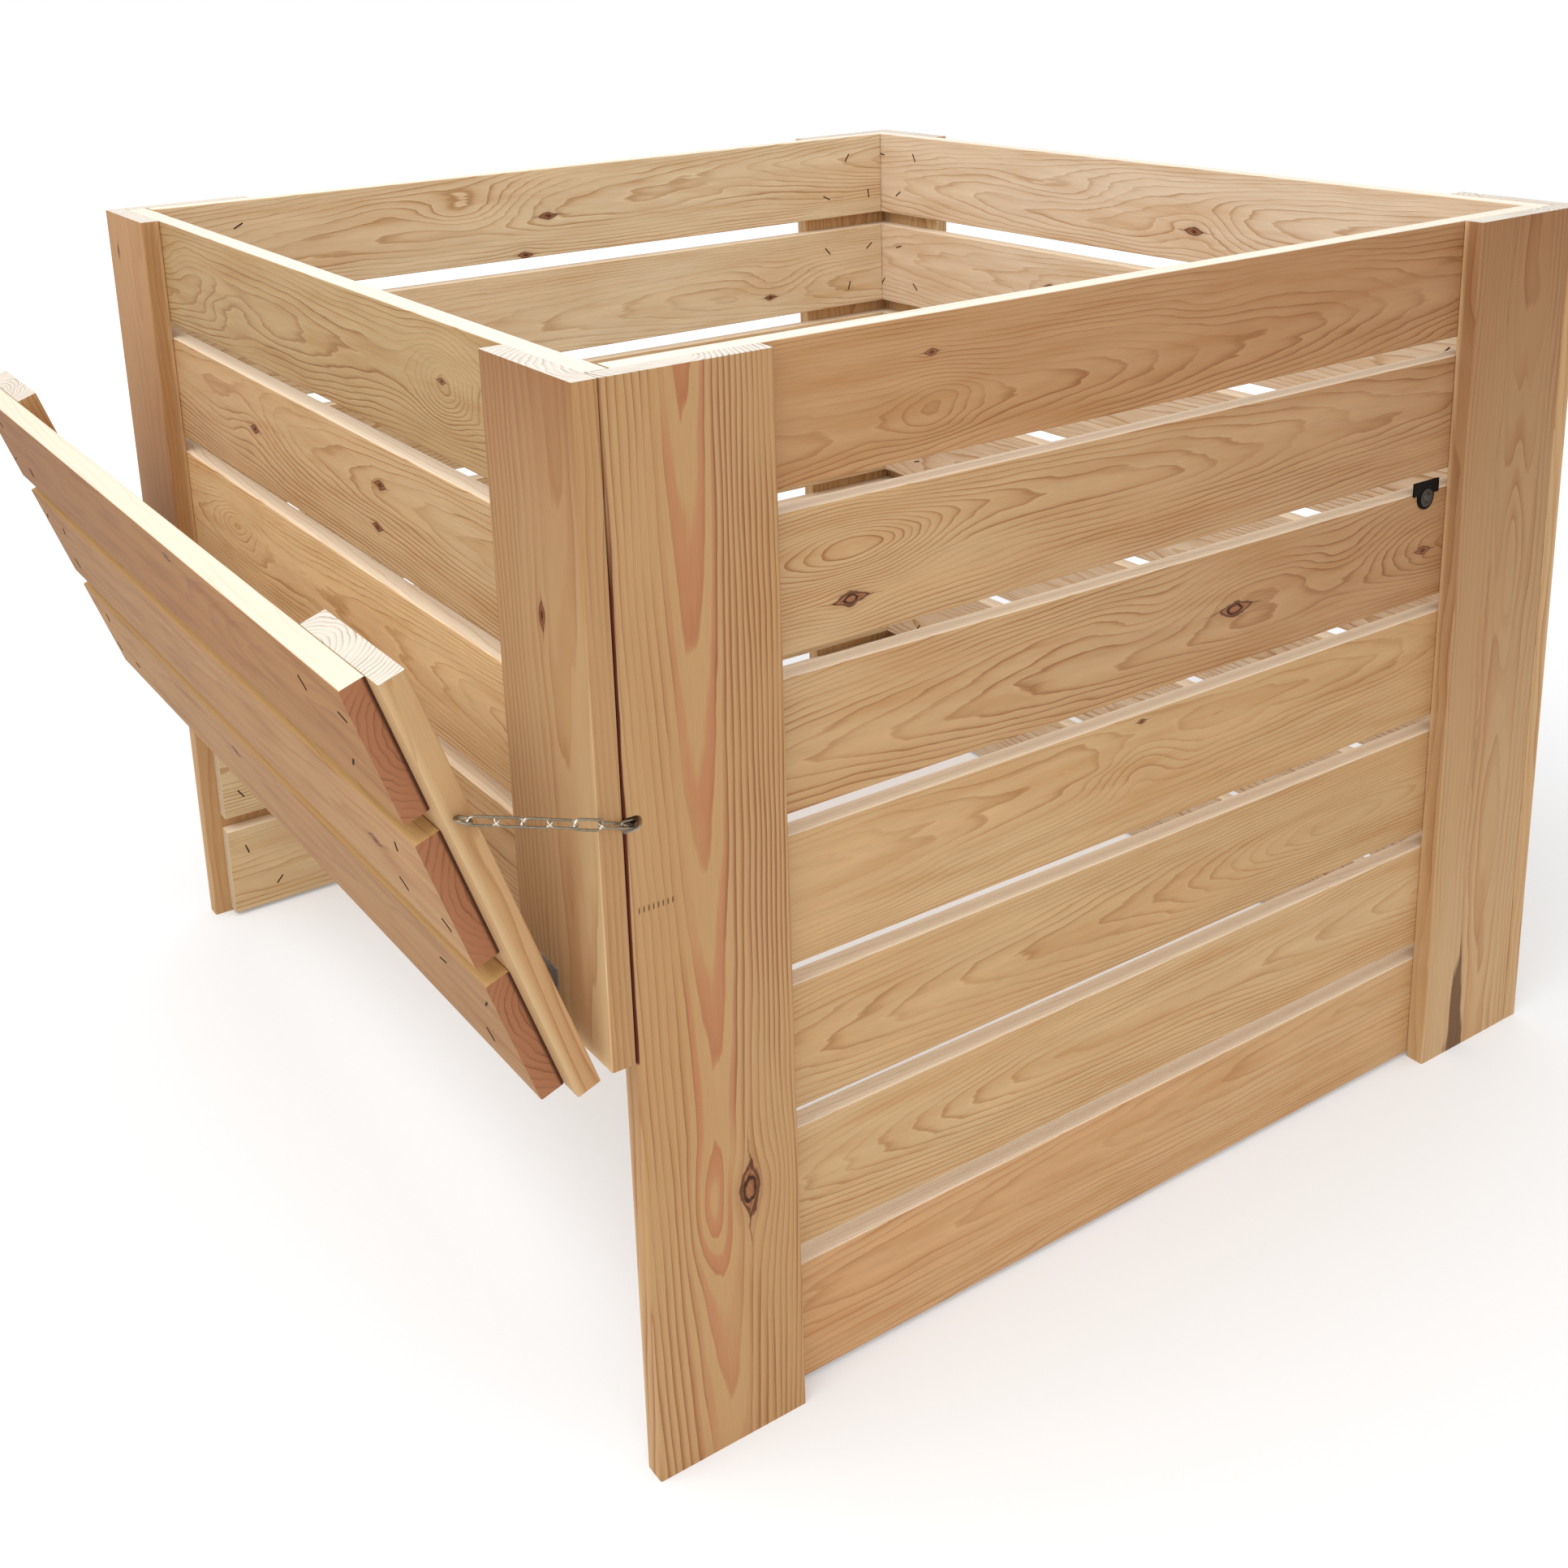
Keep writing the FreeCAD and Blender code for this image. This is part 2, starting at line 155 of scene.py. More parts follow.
def makeFloor():
    half = studio["floorSize"] / 2
    corners = [(-half, -half, 0), (half, -half, 0), (half, half, 0), (-half, half, 0)]
    mesh = bpy.data.meshes.new("floor")
    mesh.from_pydata(corners, [], [(0, 1, 2, 3)])
    floor = bpy.data.objects.new("floor", mesh)
    bpy.context.scene.collection.objects.link(floor)
    material, tree = newTree("paintedStudioFloor")  # matt white paint: plain, pale, takes soft shadows
    matt = addNode(tree, "BsdfDiffuse", {"Color": toLinear(studio["floorColour"])})
    place = addNode(tree, "TexCoord").outputs["Object"]
    reach = addNode(tree, "VectorMath", (place,), 1, operation="LENGTH")
    strength = addNode(tree, "MapRange", (reach, *studio["glowReach"], *studio["glow"]))
    glow = addNode(tree, "Emission", {"Color": toLinear(studio["white"]), "Strength": strength})
    both = addNode(tree, "AddShader", (matt, glow))
    shown = addNode(tree, "MixShader", (seenDirectly(tree), matt, both))
    addNode(tree, "OutputMaterial", {"Surface": shown})
    mesh.materials.append(material)


def makeSurroundings():
    world = bpy.data.worlds.new("studio")
    bpy.context.scene.world = world
    world.use_nodes = True
    tree = world.node_tree
    tree.nodes.clear()
    white = toLinear(studio["white"])
    lighting = addNode(tree, "Background", {"Color": white, "Strength": studio["skyStrength"]})
    backdrop = addNode(tree, "Background", {"Color": white, "Strength": 1.0})
    shown = addNode(tree, "MixShader", (seenDirectly(tree), lighting, backdrop))
    addNode(tree, "OutputWorld", {"Surface": shown})


def makeLamps():
    for name, values in studio["lamps"].items():
        data = bpy.data.lights.new(name, "AREA")
        data.size = values["size"]
        data.energy = values["power"]
        lamp = bpy.data.objects.new(name, data)
        lamp.location = values["place"]
        aim = Vector(values["aim"]) - Vector(values["place"])
        lamp.rotation_euler = aim.to_track_quat("-Z", "Y").to_euler()
        bpy.context.scene.collection.objects.link(lamp)


makeFloor()
makeSurroundings()
makeLamps()
print("camera and studio ready")

# Planed pine, untreated: pale early wood and thin dark late wood in each year's ring, knots with
# grain flowing round them, cream edges and grey arcs on sawn ends. The figure is worked out in
# three dimensions, so faces, edges and ends agree. Lengths are millimetres in the board's own
# frame: along, across, and out of the face
tones = {
    "honey": "#CDAA7E", "tan": "#C19B6E", "brown": "#AC825B", "straw": "#D3B88F", "rose": "#DFC9AE",
    "amber": "#BF9367", "russet": "#AA8059", "cream": "#DCC4A0", "gold": "#F0D3A2", "ivory": "#E3CEAC",
    "peach": "#C0996B", "wheat": "#BB9467", "oat": "#B99B70", "copper": "#CE9F72", "bark": "#96683F",
    "nut": "#A87A49", "sand": "#B78E62", "flax": "#AF865A", "umber": "#9E744E", "clay": "#A2784E",
    "fawn": "#A98056",
}

# What the boards of one kind share. ring: a year's growth. ripple: how far the rings waver, in rings.
# profile: places in the ring from its start to its end, each with the share of body tint, line tint
# and pale tint there. Those tints, and mottle for brown weathered clouds, say what is left of red,
# green and blue. edge and rimEdge: the upper edges, and those of the top row: paler wood with painted
# light from above in it, near white where they face the light; the flap's darker edge is painted shade
# between its boards. end: the sawn ends. endShade: painted shade, what an end darkens to behind the
# face, where it meets a batten. bump: its strength
woods = {
    "slat": {
        "ring": 3.0, "ripple": 0.7, "bump": 0.55,
        "profile": ((0.0, 0, 0, 0.7), (0.14, 0, 0, 0), (0.4, 0.05, 0, 0), (0.66, 0.6, 0, 0),
                    (0.78, 0.9, 0.35, 0), (0.9, 1, 0.9, 0), (0.96, 0.8, 0.6, 0), (1.0, 0, 0, 0.5)),
        "body": (0.92, 0.83, 0.75), "line": (0.67, 0.55, 0.43), "pale": (1.12, 1.14, 1.16),
        "mottle": (0.91, 0.80, 0.68),
        "edge": "#FBE9CF", "rimEdge": "#F8F0E0", "end": "#D2BC9C",
    },
    "corner": {
        "ring": 4.6, "ripple": 0.3, "bump": 0.45,
        "profile": ((0.0, 0, 0, 0.6), (0.12, 0, 0, 0.1), (0.4, 0, 0, 0), (0.54, 0.9, 0.1, 0),
                    (0.8, 1, 0.4, 0), (0.92, 1, 1, 0), (0.97, 0.7, 0.6, 0), (1.0, 0, 0, 0.5)),
        "body": (0.93, 0.83, 0.75), "line": (0.72, 0.58, 0.50), "pale": (1.08, 1.1, 1.1),
        "edge": "#F4E9D8", "end": "#E6DDD1",
    },
    "flap": {
        "ring": 5.2, "ripple": 0.4, "bump": 0.4,
        "profile": ((0.0, 0, 0, 0.4), (0.15, 0, 0, 0), (0.5, 0, 0, 0), (0.8, 0.8, 0.1, 0),
                    (0.9, 1, 0.6, 0), (0.95, 0.8, 0.5, 0), (1.0, 0, 0, 0.2)),
        "body": (0.94, 0.86, 0.8), "line": (0.76, 0.62, 0.52), "pale": (1.06, 1.07, 1.08),
        "mottle": (0.78, 0.66, 0.56),
        "edge": "#CBA46C", "end": "#A87250", "endShade": "#3E1B0E",
    },
    "batten": {
        "ring": 4.4, "ripple": 0.4, "bump": 0.45,
        "profile": ((0.0, 0, 0, 0.5), (0.15, 0, 0, 0), (0.5, 0.1, 0, 0), (0.8, 0.8, 0.3, 0),
                    (0.9, 1, 0.8, 0), (0.95, 0.8, 0.6, 0), (1.0, 0, 0, 0.3)),
        "body": (0.93, 0.84, 0.76), "line": (0.74, 0.62, 0.5), "pale": (1.08, 1.09, 1.1),
        "edge": "#EBDCC0", "end": "#E2D8CA",
    },
}

# What is particular to a board. tones: its colour at the low end and at the high end of its length.
# side: the tone of its long edges, where they differ from its face. pith: its place across and out of
# the board. lean: how it runs off across and out, per mm along. swells: along, across, length, width,
# height in rings. crowd: from this place across, so many rings per mm are added towards the low edge.
# drift: how far the rings wander, in rings. phase: how far on in a year the pith starts. strength: how
# clear the rings are. quiet: along, across, length, width where they fade. bands: places across with
# the share of body tint and of line tint there. knots: along, across, radius. marks: its stains, and
# its painted joint shadow.
# ring, body, line and edge stand in for those of its kind
boards = {
    "right_slat_1": {"tones": ("amber", "russet"), "pith": (-14, -34), "lean": (0.03, -0.055),
                     "swells": [(-212, -16, 34, 26, -3.4), (60, 16, 60, 30, 1.6)],
                     "quiet": [(-330, 10, 110, 40), (130, 32, 140, 20)],
                     "knots": [(-216, 23, 2.2)]},
    "right_slat_2": {"tones": ("honey", "brown"), "pith": (16, -26), "lean": (0.012, -0.045),
                     "swells": [(-286, 16, 58, 27, -6.5), (-150, 0, 120, 40, 2.0)],
                     "knots": [(-288, -22, 5.0)]},
    "right_slat_3": {"tones": ("honey", "russet"), "pith": (-6, -30), "lean": (0.02, 0.05),
                     "drift": 4.2, "line": (0.60, 0.47, 0.36),
                     "swells": [(230, 10, 70, 32, 5.0), (20, 18, 70, 26, 3.0)],
                     "knots": [(94, -3, 6.2), (330, -4, 3.6)]},
    "right_slat_4": {"tones": ("honey", "tan"), "pith": (24, -44), "lean": (0.03, -0.03),
                     "drift": 4.4, "strength": 0.75, "swells": [(-8, 6, 46, 26, 4.0)],
                     "quiet": [(-330, 10, 120, 40)], "knots": [(-8, 43, 1.8)]},
    "right_slat_5": {"tones": ("honey", "tan"), "pith": (-4, -30), "lean": (0.0, 0.045),
                     "strength": 0.8, "swells": [(210, 0, 120, 22, -4.0)]},
    "right_slat_6": {"tones": ("honey", "honey"), "pith": (4, -34), "lean": (0.0, 0.05),
                     "strength": 0.8, "swells": [(-100, 6, 160, 24, -3.6)]},
    "right_slat_7": {"tones": ("copper", "honey"), "pith": (22, -44), "lean": (0.03, 0.02),
                     "strength": 0.6},
    "front_slat_1": {"tones": ("oat", "oat"), "pith": (0, -38), "lean": (0.02, -0.03),
                     "swells": [(272, 4, 44, 30, -6.5), (-380, 12, 60, 22, 4.0),
                                (-180, -6, 80, 18, 3.0)],
                     "knots": [(272, 7, 2.4)]},
    "front_slat_2": {"tones": ("honey", "straw"), "pith": (18, -34), "lean": (-0.02, 0.04),
                     "swells": [(-150, 3, 70, 26, 3.0)],
                     "knots": [(-150, 3, 3.6), (139, 17, 3.8), (126, -20, 3.2)]},
    # front_slat_3 and front_slat_4 take a paler tone than their wood: painted light, to lift the soft
    # shade of the raised flap
    "front_slat_3": {"tones": ("gold", "gold"), "pith": (0, -24), "lean": (0.01, 0.03),
                     "swells": [(-239, 7, 56, 20, -4.6), (120, 0, 180, 26, 3.0)]},
    "front_slat_4": {"tones": ("gold", "gold"), "pith": (20, -30), "lean": (0.01, 0.03)},
    "left_slat_1": {"tones": ("cream", "ivory"), "pith": (5, -34), "lean": (0.03, 0.04),
                    "swells": [(-110, 15, 60, 24, 4.4), (280, 0, 140, 22, 3.0)],
                    "knots": [(-17, -4, 4.0), (-49, -46, 3.6)]},
    "left_slat_2": {"tones": ("ivory", "ivory"), "pith": (-12, -38), "lean": (-0.02, 0.03),
                    "strength": 0.8, "swells": [(300, -5, 50, 22, 3.0)], "knots": [(287, -24, 3.2)]},
    "back_slat_1": {"tones": ("rose", "rose"), "pith": (-5, -34), "lean": (0.02, 0.04),
                    "strength": 0.85, "swells": [(78, -16, 60, 30, 4.0), (-120, 6, 110, 20, 3.6)],
                    "knots": [(78, -16, 4.4)]},
    "back_slat_2": {"tones": ("rose", "rose"), "pith": (8, -44), "lean": (-0.01, 0.03),
                    "strength": 0.6, "knots": [(-142, 10, 3.6)]},
    # right_front_board: the dark line near its front edge is painted shade, where the front corner
    # board meets it
    "right_front_board": {"tones": ("peach", "wheat"), "pith": (4, -29), "lean": (0.006, 0.031),
                          "ring": 4.4, "drift": 1.0, "phase": 0.21, "crowd": (-14, 0.05),
                          "body": (0.97, 0.74, 0.76), "strength": 1.25,
                          "swells": [(-196, 5, 48, 20, -1.5)], "quiet": [(110, 50, 330, 24)],
                          "bands": ((-62, 0.4, 2.7), (-16, 0.45, 2.3), (-7, 0.85, 0.45),
                                    (18, 0.85, 0.4), (27, 0.4, 1.5), (62, 0.2, 2.2)),
                          "knots": [(-196, -21, 8.0)], "marks": ("jointLine", "ticks")},
    # front_right_board: the paler tone at its foot is painted light, to lift the soft shade of the flap
    "front_right_board": {"tones": ("gold", "umber"), "side": "sand", "pith": (-30, -56),
                          "lean": (0.01, 0.02), "strength": 0.7, "knots": [(69, -4, 3.6)]},
    "front_left_board": {"tones": ("sand", "sand"), "pith": (-30, -70), "lean": (0.01, 0.01),
                         "strength": 0.5, "knots": [(193, 31, 3.0)]},
    "left_front_board": {"tones": ("tan", "amber"), "strength": 0.5},
    "left_back_board": {"tones": ("straw", "honey"), "strength": 0.8},
    "back_left_board": {"tones": ("honey", "straw"), "strength": 0.8},
    "back_right_board": {"tones": ("honey", "tan"), "strength": 0.8},
    "right_back_board": {"tones": ("honey", "umber"), "pith": (-14, -30), "lean": (-0.004, 0.014),
                         "strength": 0.9, "swells": [(90, -14, 100, 15, 3.4)],
                         "quiet": [(0, 40, 700, 20)], "marks": ("barkPocket",)},
    # the flap boards take darker tones than their wood: painted shade, for the face that hangs out of
    # the light from above
    "flap_board_1": {"tones": ("flax", "fawn"), "pith": (5, -60), "lean": (0.01, 0.02),
                     "knots": [(-38, 16, 3.9)]},
    "flap_board_2": {"tones": ("clay", "sand"), "pith": (-10, -64), "lean": (0.02, 0.02),
                     "knots": [(372, 2, 4.2)]},
    # flap_board_3's upper edge is near white, painted light; the other flap boards keep the darker flap
    # edge, painted shade between the boards
    "flap_board_3": {"tones": ("bark", "nut"), "edge": "#EFE5D0", "pith": (8, -48),
                     "lean": (-0.01, 0.04), "swells": [(134, 10, 120, 22, 2.4)],
                     "knots": [(134, 38, 3.4)]},
}

# The tones of the boards that aren't named above, by the part of the bin that they are in. The left
# side's lower slats are a little darker than its top two: painted shade inside the bin
sideTones = {"left": ("straw", "cream"), "back": ("rose", "rose"), "flap": ("amber", "tan")}

flapAngle = math.radians(frame["joints"][0]["range_deg"][1])
flapOut = Vector((0, -math.sin(flapAngle), -math.cos(flapAngle)))  # from its hinges to its free edge


def woodKind(node):
    if node.startswith("flap_board"):
        return "flap"
    if node.endswith("batten"):
        return "batten"
    return "slat" if "slat" in node else "corner"


def boardFrame(node):
    # the directions along and across a board, whose cross product is its face that the eye sees most
    if node.startswith("flap_board"):
        return Vector((1, 0, 0)), flapOut
    if node.endswith("batten"):
        return flapOut, Vector((1, 0, 0))
    if node.startswith(("front_slat", "back_slat")):
        return Vector((1, 0, 0)), Vector((0, 0, 1))
    if "slat" in node:
        return Vector((0, 1, 0)), Vector((0, 0, 1))
    if node.startswith(("front_", "back_")):
        return Vector((0, 0, 1)), Vector((-1, 0, 0))
    return Vector((0, 0, 1)), Vector((0, -1, 0))


# Noises of the wood. size: their grains along, across and out of the board. shift: how far a noise is
# moved to differ from the others, in grains. step: how far it moves on from one board to the next
grains = {
    "step": (37.1, 11.7, 5.3),
    "drift": {"size": (230, 40, 40), "shift": 0, "detail": 2.0},
    "ripple": {"size": (50, 7, 7), "shift": 9, "detail": 2.0},
    "broad": {"size": (330, 60, 60), "shift": 21, "detail": 1.0},
    "hush": {"size": (170, 34, 34), "shift": 47, "detail": 1.0},
    "fibre": {"size": (26, 0.8, 0.8), "shift": 33, "detail": 2.0},
    "rough": {"size": (14, 5, 5), "shift": 61, "detail": 2.0},
    "cloud": {"size": (120, 13, 13), "shift": 73, "detail": 3.0},
}


def grainNoise(add, local, seed, name):
    grain = grains[name]
    shift = Vector(grains["step"]) * (seed + 1) + Vector([grain["shift"]] * 3)
    perGrain = tuple(1 / s for s in grain["size"])
    stretched = add("VectorMath", (local, perGrain, shift), operation="MULTIPLY_ADD")
    return add("TexNoise", {"Vector": stretched, "Scale": 1.0, "Detail": grain["detail"]})


def centred(add, noise):
    # the three values of a noise, which are a half on average, moved to lie about zero
    return add("VectorMath", (noise.outputs["Color"], (0.5, 0.5, 0.5)), operation="SUBTRACT")


def awayFrom(add, value, middle):
    # how far the value is from the middle, on either side
    return add("Math", (add("Math", (value, middle), operation="SUBTRACT"),), operation="ABSOLUTE")


def nearness(add, where, place, size):
    # a smooth hill, 1 in its middle: e to the minus square of the distance over its size
    perSize, shift = (1 / size[0], 1 / size[1], 0), (-place[0] / size[0], -place[1] / size[1], 0)
    reach = add("VectorMath", (where, perSize, shift), operation="MULTIPLY_ADD")
    square = add("VectorMath", (reach, reach), 1, operation="DOT_PRODUCT")
    return add("Math", (math.e, add("Math", (square, -1.0), operation="MULTIPLY")), operation="POWER")


def tinted(add, colour, share, tint):
    # the colour times the tint, as far as the share says
    factor = add("Mix", {0: share, 6: (1, 1, 1, 1), 7: (*tint, 1)}, 2, data_type="RGBA")
    return add("VectorMath", (colour, factor), operation="MULTIPLY")


def band(add, value, middle, half, soft, top):
    # a share of top where the value is within half of the middle, falling to nothing over soft
    away = awayFrom(add, value, middle)
    return add("MapRange", (away, half, half + soft, top, 0.0), interpolation_type="SMOOTHSTEP")


def shareRamp(add, where, stops):
    # three shares at places from 0 to 1, straight between them
    ramp = add("ValToRGB", (where,))
    elements = ramp.color_ramp.elements
    for number, (place, *shares) in enumerate(stops):
        stop = elements[number] if number < 2 else elements.new(place)
        stop.position = place
        stop.color = (*shares, 1)
    return ramp


# How the rings run and how clear they are. wander: how far the drift carries a place along and
# across. drift: how far it moves the rings, in rings. knotPulls: reach along and across in radii of a
# knot, and the share of the way across that a place there is drawn to it. hush: the range of that
# noise over which the rings clear up from the share in still. years: the faintest and the strongest
# year. quiet: what is left in the middle of a quiet place. bandReach: just over half a board's width.
# bandPale: what the bands leave of the pale tint
figure = {
    "wander": (46, 9, 0),
    "drift": 3.6,
    "knotPulls": ((8.0, 3.6, 0.35), (4.2, 1.8, 0.75)),
    "hush": (0.34, 0.6),
    "still": 0.3,
    "years": (0.6, 1.15),
    "quiet": 0.15,
    "bandReach": 70,
    "bandPale": 0.5,
}


def ringCount(add, local, drift, ripple, look, seed):
    # distance from the leaning pith over the ring width, moved by drift, ripples and swells. Near a
    # knot each place is drawn to the knot's middle, so that the grain opens round it. A board with no
    # pith of its own gets one by its number
    bent = add("VectorMath", (centred(add, drift), figure["wander"], local), operation="MULTIPLY_ADD")
    for kAlong, kAcross, radius in look.get("knots", []):
        for length, width, amount in figure["knotPulls"]:
            offset = add("VectorMath", (bent, (kAlong, kAcross, 0)), operation="SUBTRACT")
            fall = nearness(add, bent, (kAlong, kAcross), (length * radius, width * radius))
            pull = add("VectorMath", {0: offset, "Scale": fall}, operation="SCALE")
            bent = add("VectorMath", (pull, (0, -amount, 0), bent), operation="MULTIPLY_ADD")
    pith = look.get("pith", ((seed * 37 % 60) - 30, -28 - seed * 13 % 24))
    lean = look.get("lean", ((seed % 5 - 2) * 0.01, (seed % 3 - 1) * 0.03 + 0.015))
    lengthwise, crosswise, _ = add("SeparateXYZ", (bent,)).outputs
    leanOff = add("VectorMath", {0: (0, -lean[0], -lean[1]), "Scale": lengthwise}, operation="SCALE")
    section = add("VectorMath", (bent, (0, 1, 1), leanOff), operation="MULTIPLY_ADD")
    fromPith = add("VectorMath", (section, (0, pith[0], pith[1])), operation="SUBTRACT")
    distance = add("VectorMath", (fromPith,), 1, operation="LENGTH")
    phase = look.get("phase", seed * 0.37)
    rings = add("Math", (distance, 1 / look["ring"], phase), operation="MULTIPLY_ADD")
    for noise, amount in ((drift, look.get("drift", figure["drift"])), (ripple, look["ripple"])):
        rings = add("Math", (noise, amount, rings), operation="MULTIPLY_ADD")
    if "crowd" in look:
        start, perLength = look["crowd"]
        beyond = add("Math", (crosswise, start), operation="SUBTRACT")
        beyond = add("Math", (beyond, 0.0), operation="MINIMUM")
        rings = add("Math", (beyond, -perLength, rings), operation="MULTIPLY_ADD")
    for sAlong, sAcross, length, width, height in look.get("swells", []):
        hill = nearness(add, bent, (sAlong, sAcross), (length, width))
        rings = add("Math", (hill, height, rings), operation="MULTIPLY_ADD")
    return rings


def ringShares(add, local, crosswise, rings, hush, look):
    # the shares of body, line and pale tint at each place of the rings, stronger in some years, weaker
    # where the wood is quiet, and weighed by the bands across the board
    ramp = shareRamp(add, add("Math", (rings,), operation="FRACT"), look["profile"])
    number = add("Math", (rings,), operation="FLOOR")
    year = add("TexWhiteNoise", {"W": number}, 0, noise_dimensions="1D")
    clear = add("MapRange", (hush, *figure["hush"], figure["still"], look.get("strength", 1.0)),
                interpolation_type="SMOOTHSTEP")
    for qAlong, qAcross, length, width in look.get("quiet", []):
        hill = nearness(add, local, (qAlong, qAcross), (length, width))
        kept = add("MapRange", (hill, 0.0, 1.0, 1.0, figure["quiet"]))
        clear = add("Math", (clear, kept), operation="MULTIPLY")
    kept = add("MapRange", (year, 0.0, 1.0, *figure["years"]))
    clear = add("Math", (clear, kept), operation="MULTIPLY")
    scaled = add("VectorMath", {0: ramp, "Scale": clear}, operation="SCALE")
    if "bands" in look:
        reach = figure["bandReach"]
        where = add("MapRange", (crosswise, -reach, reach, 0.0, 1.0))
        stops = [((across + reach) / (2 * reach), bodyShare, lineShare, figure["bandPale"])
                 for across, bodyShare, lineShare in look["bands"]]
        scaled = add("VectorMath", (scaled, shareRamp(add, where, stops)), operation="MULTIPLY")
    return add("SeparateXYZ", (scaled,)).outputs


# Knots: an eye along the grain with a thin dark streak through it. Inside are reddish wood with
# rings, a dark rim and a heart, which is a ring itself in a knot whose radius is over largeFrom. eye:
# half its length and half its width, in radii. taper: how pointed it is. streak, heart: how soon they
# end along and across. ragged: how far the outline wanders along, in radii, and the radius from which
# it wanders a whole radius across. rings: their turns from the middle to the edge of the eye, in
# radians. Each layer is a band: its middle, half, softness, top share and colour
knot = {
    "eye": (3.2, 1.2),
    "taper": 1.5,
    "streak": (0.5, 5.5),
    "heart": (0.8, 1.4),
    "ragged": (1.8, 6),
    "rings": 14.0,
    "flesh": ("#7F4D31", "#A06B48"),
    "largeFrom": 4.5,
    "layers": {
        "halo": (0.0, 1.0, 1.2, 0.2, "#94623F"),
        "streak": (0.0, 0.6, 0.8, 0.7, "#6B3D22"),
        "flesh": (0.0, 0.7, 0.3, 0.92, None),
        "rim": (0.82, 0.05, 0.2, 0.8, "#552F1B"),
        "largeHeart": (0.86, 0.1, 0.2, 0.92, "#331709"),
        "smallHeart": (0.0, 0.35, 0.7, 0.85, "#4A2413"),
    },
}


def knotted(add, colour, local, ragged, knots):
    # the edge of the eye is where the share across and the share along to the power of its taper add
    # up to 1
    for kAlong, kAcross, radius in knots:
        wobble = (knot["ragged"][0] * radius, min(1.0, radius / knot["ragged"][1]) * radius, 0)
        wobbled = add("VectorMath", (ragged, wobble, local), operation="MULTIPLY_ADD")
        offset = add("VectorMath", (wobbled, (kAlong, kAcross, 0)), operation="SUBTRACT")
        perEye = (1 / (knot["eye"][0] * radius), 1 / (knot["eye"][1] * radius), 0)
        eye = add("VectorMath", (offset, perEye), operation="MULTIPLY")
        eye = add("VectorMath", (eye,), operation="ABSOLUTE")
        lengthwise, crosswise, _ = add("SeparateXYZ", (eye,)).outputs
        tapered = add("Math", (lengthwise, knot["taper"]), operation="POWER")
        edge = add("Math", (tapered, crosswise), operation="ADD")
        drawnOut = add("Math", (lengthwise, knot["streak"][0]), operation="MULTIPLY")
        streak = add("Math", (crosswise, knot["streak"][1], drawnOut), operation="MULTIPLY_ADD")
        perHeart = (knot["heart"][0] / radius, knot["heart"][1] / radius, 0)
        heart = add("VectorMath", (offset, perHeart), operation="MULTIPLY")
        heart = add("VectorMath", (heart,), 1, operation="LENGTH")
        turns = add("Math", (edge, knot["rings"]), operation="MULTIPLY")
        rings = add("Math", (turns,), operation="SINE")
        share = add("MapRange", (rings, -1.0, 1.0, 0.0, 1.0))
        dark, light = (toLinear(tone) for tone in knot["flesh"])
        flesh = add("Mix", {0: share, 6: dark, 7: light}, 2, data_type="RGBA")
        heartName = "largeHeart" if radius > knot["largeFrom"] else "smallHeart"
        values = {"halo": edge, "streak": streak, "flesh": edge, "rim": edge, heartName: heart}
        for name, value in values.items():
            *shape, tone = knot["layers"][name]
            tone = toLinear(tone) if tone else flesh
            colour = add("Mix", {0: band(add, value, *shape), 6: colour, 7: tone}, 2, data_type="RGBA")
    return colour


# Stains, and a line of painted shade along a joint, that sit on one board only, at places along and
# across it. ragged: how far the ripple moves their edge. soft: half the width over which an edge fades,
# and for the bark pocket from where to where it fades. left: what is left of the painted joint shadow
# past its high end. wave: the part of the sine over which a tick darkens
stainsAndShade = {
    "jointLine": {"colour": "#54200D", "across": 61.0, "ragged": 2.6, "soft": 0.4, "low": -63.0,
                  "lowSoft": 1.0, "high": 300.0, "highSoft": 34.0, "left": 0.25},
    "ticks": {"colour": "#4B2D1B", "along": 47.0, "height": 4.2, "soft": 0.8, "across": (27.0, 56.0),
              "acrossSoft": 1.0, "pitch": 3.6, "wave": (0.3, 0.8), "strength": 0.8},
    "barkPocket": {"colour": "#55301A", "across": 17.0, "ragged": 14.0, "tip": -277.0, "foot": -400.0,
                   "halfWidth": 13.0, "soft": (-2.0, 1.0), "strength": 0.8},
}


def jointShadowShare(add, lengthwise, crosswise, ripple, markLook):
    # painted shade of the gap where the front corner board meets this one: dark on one side of a ragged
    # line along the board, from its low end, and fainter past its high end
    middle = markLook["across"] + markLook["ragged"] / 2  # the ripple is a half on average
    swayed = add("Math", (ripple, markLook["ragged"], crosswise), operation="MULTIPLY_ADD")
    line = add("MapRange", (swayed, middle - markLook["soft"], middle + markLook["soft"], 0.0, 1.0))
    low, soft = markLook["low"], markLook["lowSoft"]
    start = add("MapRange", (lengthwise, low - soft, low + soft, 0.0, 1.0))
    high, soft = markLook["high"], markLook["highSoft"]
    end = add("MapRange", (lengthwise, high - soft, high + soft, 1.0, markLook["left"]))
    return add("Math", (line, add("Math", (start, end), operation="MULTIPLY")), operation="MULTIPLY")


